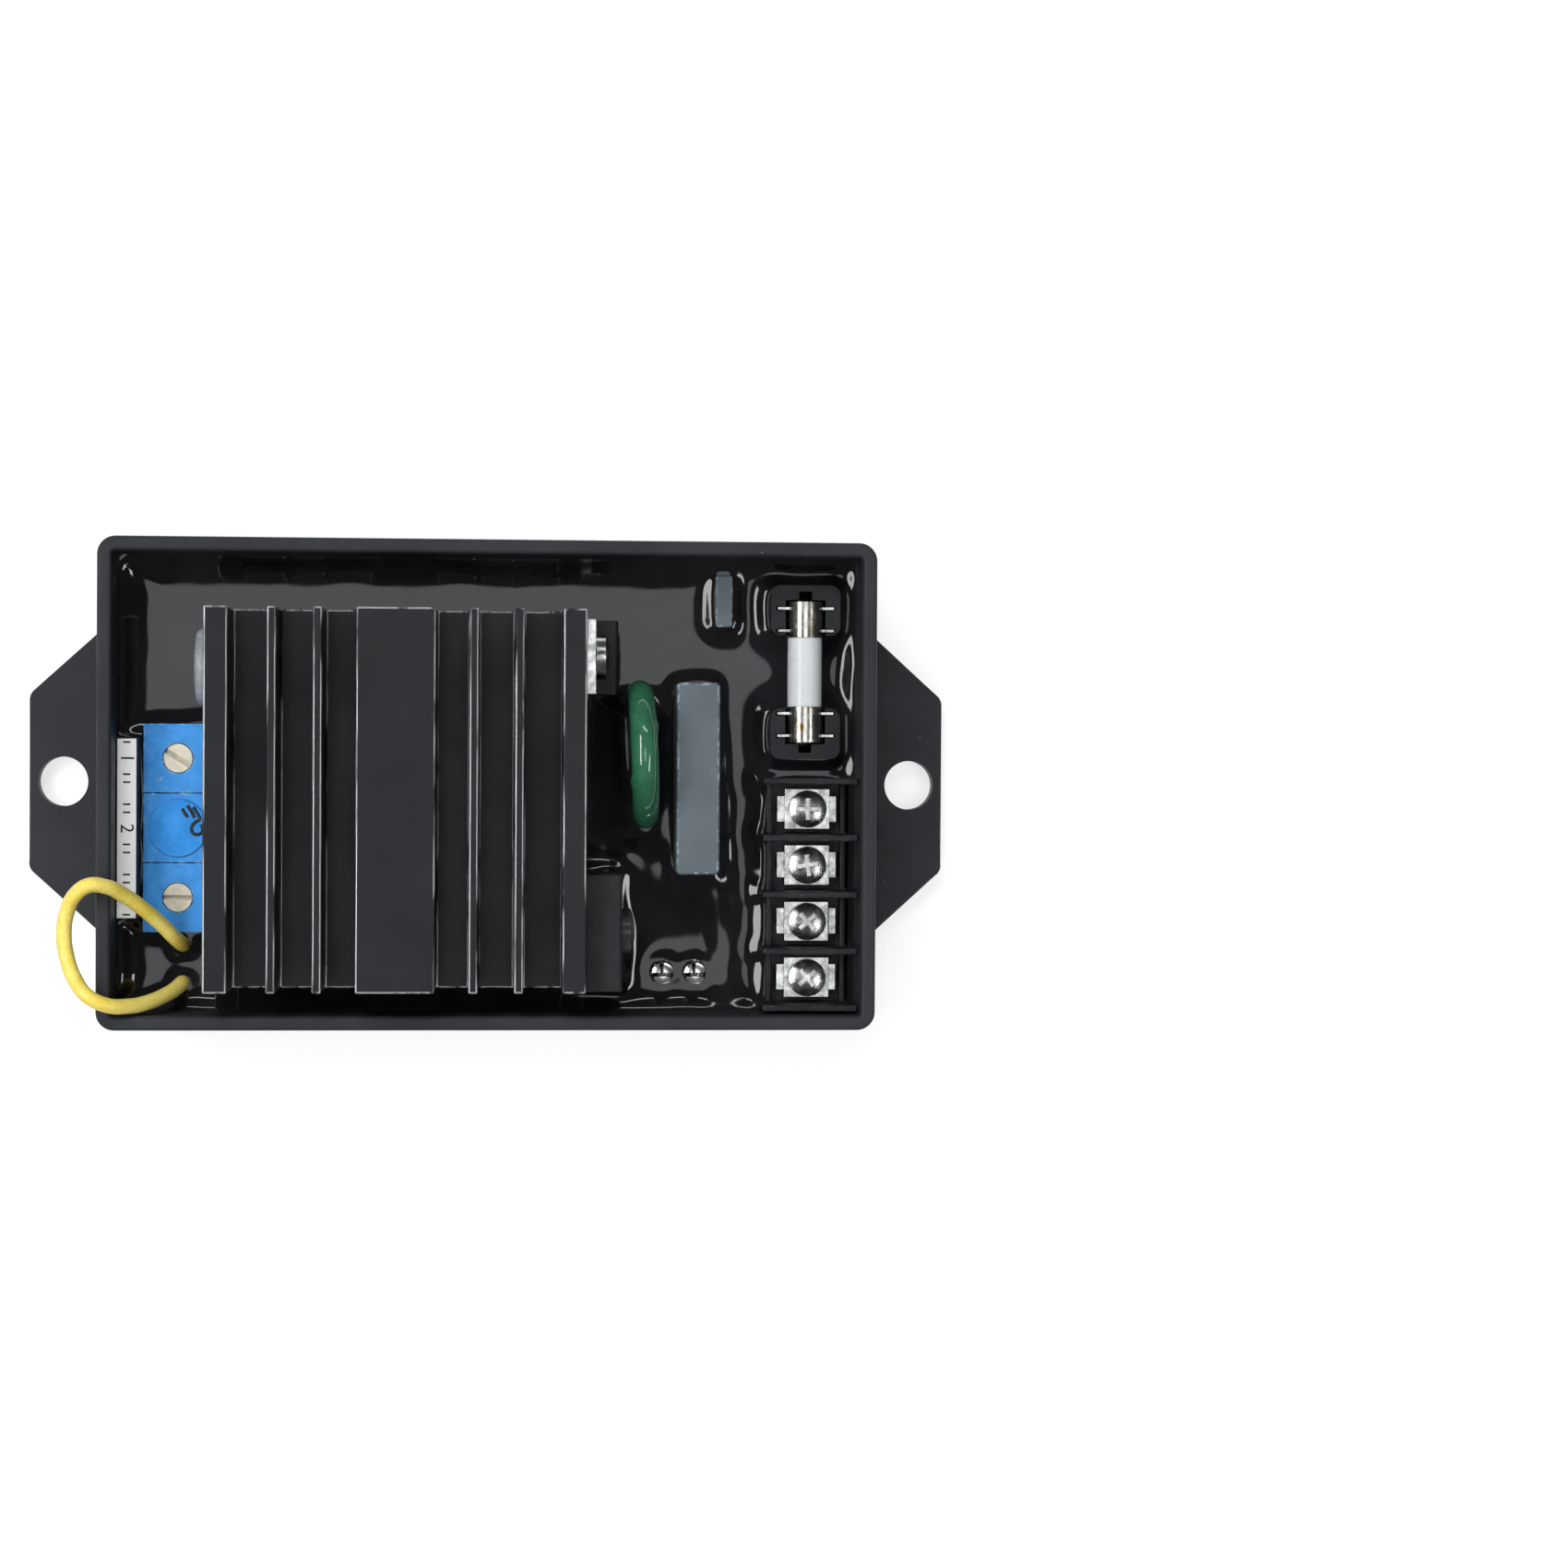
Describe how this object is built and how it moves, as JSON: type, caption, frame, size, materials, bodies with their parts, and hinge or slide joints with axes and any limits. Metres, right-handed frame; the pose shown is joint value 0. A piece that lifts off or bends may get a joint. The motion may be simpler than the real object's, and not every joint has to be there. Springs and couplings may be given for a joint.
{
  "type": "automatic voltage regulator",
  "caption": "Open potted tray with mounting ears, a finned heatsink, trimmers, a fuse and a screw terminal block; keeps a generator's output voltage steady.",
  "frame": {"origin": "centre of the mounting face, under the middle of the tray", "axes": "+X along the line of the two mounting holes towards the terminal block, +Y towards the fuse end of the tray, +Z out of the open side of the tray"},
  "size_m": [0.1294, 0.067, 0.034],
  "materials": {
    "tray_plastic": "moulded charcoal black, satin",
    "resin": "glossy black cast resin",
    "board": "green solder resist",
    "anodised": "black anodised, satin",
    "tinned": "tinned or nickel plated",
    "black_screw": "blackened steel",
    "package": "moulded black epoxy",
    "varistor_coat": "glossy green epoxy dip",
    "capacitor_case": "grey-blue moulded case",
    "disc_coat": "pale grey dip",
    "cap_nickel": "bright nickel",
    "ceramic": "white ceramic",
    "terminal_plastic": "moulded black",
    "clear_lens": "clear epoxy",
    "trimmer_blue": "moulded blue",
    "rotor_cream": "moulded cream",
    "lacquer": "blue sealing lacquer",
    "label": "printed white strip",
    "wire": "yellow insulation",
    "resistor_coat": "tan lacquer"
  },
  "bodies": {
    "regulator": {"housing": "tray_plastic", "circuit_board": "board", "potting": "resin", "heatsink": "anodised", "heatsink_pins": "tinned", "power_transistor_body": "package", "power_transistor_frame": "tinned", "power_transistor_screw": "black_screw", "thyristor_body": "package", "thyristor_frame": "tinned", "thyristor_screw": "tinned", "varistor": "varistor_coat", "varistor_leads": "tinned", "film_capacitor": "capacitor_case", "film_capacitor_leads": "tinned", "small_capacitor": "capacitor_case", "small_capacitor_leads": "tinned", "disc_capacitor": "disc_coat", "disc_capacitor_leads": "tinned", "fuse_holder": "terminal_plastic", "fuse_clips": "tinned", "fuse_caps": "cap_nickel", "fuse_tube": "ceramic", "fuse_element": "tinned", "terminal_block": "terminal_plastic", "terminal_plates": "tinned", "led_lenses": "clear_lens", "led_leads": "tinned", "trimmer_body_1": "trimmer_blue", "trimmer_body_2": "trimmer_blue", "trimmer_body_3": "trimmer_blue", "trimmer_rotor_2": "rotor_cream", "sealing_lacquer": "lacquer", "trimmer_pins": "tinned", "label_strip": "label", "jumper_wire": "wire", "control_ic": "package", "control_ic_pins": "tinned", "resistors": "resistor_coat", "resistor_leads": "tinned", "diodes": "package", "diode_leads": "tinned"},
    "trimmer_rotor_1": {"trimmer_rotor_1": "rotor_cream"},
    "trimmer_rotor_3": {"trimmer_rotor_3": "rotor_cream"},
    "clamp_1": {"clamp_washer_1": "tinned"},
    "screw_1": {"terminal_screw_1": "tinned"},
    "clamp_2": {"clamp_washer_2": "tinned"},
    "screw_2": {"terminal_screw_2": "tinned"},
    "clamp_3": {"clamp_washer_3": "tinned"},
    "screw_3": {"terminal_screw_3": "tinned"},
    "clamp_4": {"clamp_washer_4": "tinned"},
    "screw_4": {"terminal_screw_4": "tinned"}
  },
  "joints": [
    {"name": "trimmer_1_turn", "type": "hinge", "parent": "regulator", "child": "trimmer_rotor_1", "pos_m": [-0.04285, 0.00339, 0.0154], "axis": [0, 0, 1], "range_deg": [-140, 140]},
    {"name": "trimmer_3_turn", "type": "hinge", "parent": "regulator", "child": "trimmer_rotor_3", "pos_m": [-0.04285, -0.01585, 0.0154], "axis": [0, 0, 1], "range_deg": [-140, 140]},
    {"name": "clamp_1_lift", "type": "slide", "parent": "regulator", "child": "clamp_1", "axis": [0, 0, 1], "range_m": [0, 0.0025]},
    {"name": "screw_1_turn", "type": "hinge", "parent": "clamp_1", "child": "screw_1", "pos_m": [0.04425, -0.00323, 0.0158], "axis": [0, 0, 1], "range_deg": [0, 1800]},
    {"name": "clamp_2_lift", "type": "slide", "parent": "regulator", "child": "clamp_2", "axis": [0, 0, 1], "range_m": [0, 0.0025]},
    {"name": "screw_2_turn", "type": "hinge", "parent": "clamp_2", "child": "screw_2", "pos_m": [0.04425, -0.01107, 0.0158], "axis": [0, 0, 1], "range_deg": [0, 1800]},
    {"name": "clamp_3_lift", "type": "slide", "parent": "regulator", "child": "clamp_3", "axis": [0, 0, 1], "range_m": [0, 0.0025]},
    {"name": "screw_3_turn", "type": "hinge", "parent": "clamp_3", "child": "screw_3", "pos_m": [0.04425, -0.01893, 0.0158], "axis": [0, 0, 1], "range_deg": [0, 1800]},
    {"name": "clamp_4_lift", "type": "slide", "parent": "regulator", "child": "clamp_4", "axis": [0, 0, 1], "range_m": [0, 0.0025]},
    {"name": "screw_4_turn", "type": "hinge", "parent": "clamp_4", "child": "screw_4", "pos_m": [0.04425, -0.02678, 0.0158], "axis": [0, 0, 1], "range_deg": [0, 1800]}
  ],
  "couplings": [
    {"joint": "screw_1_turn", "follows": "clamp_1_lift", "rad_per_m": 12566},
    {"joint": "screw_2_turn", "follows": "clamp_2_lift", "rad_per_m": 12566},
    {"joint": "screw_3_turn", "follows": "clamp_3_lift", "rad_per_m": 12566},
    {"joint": "screw_4_turn", "follows": "clamp_4_lift", "rad_per_m": 12566}
  ]
}
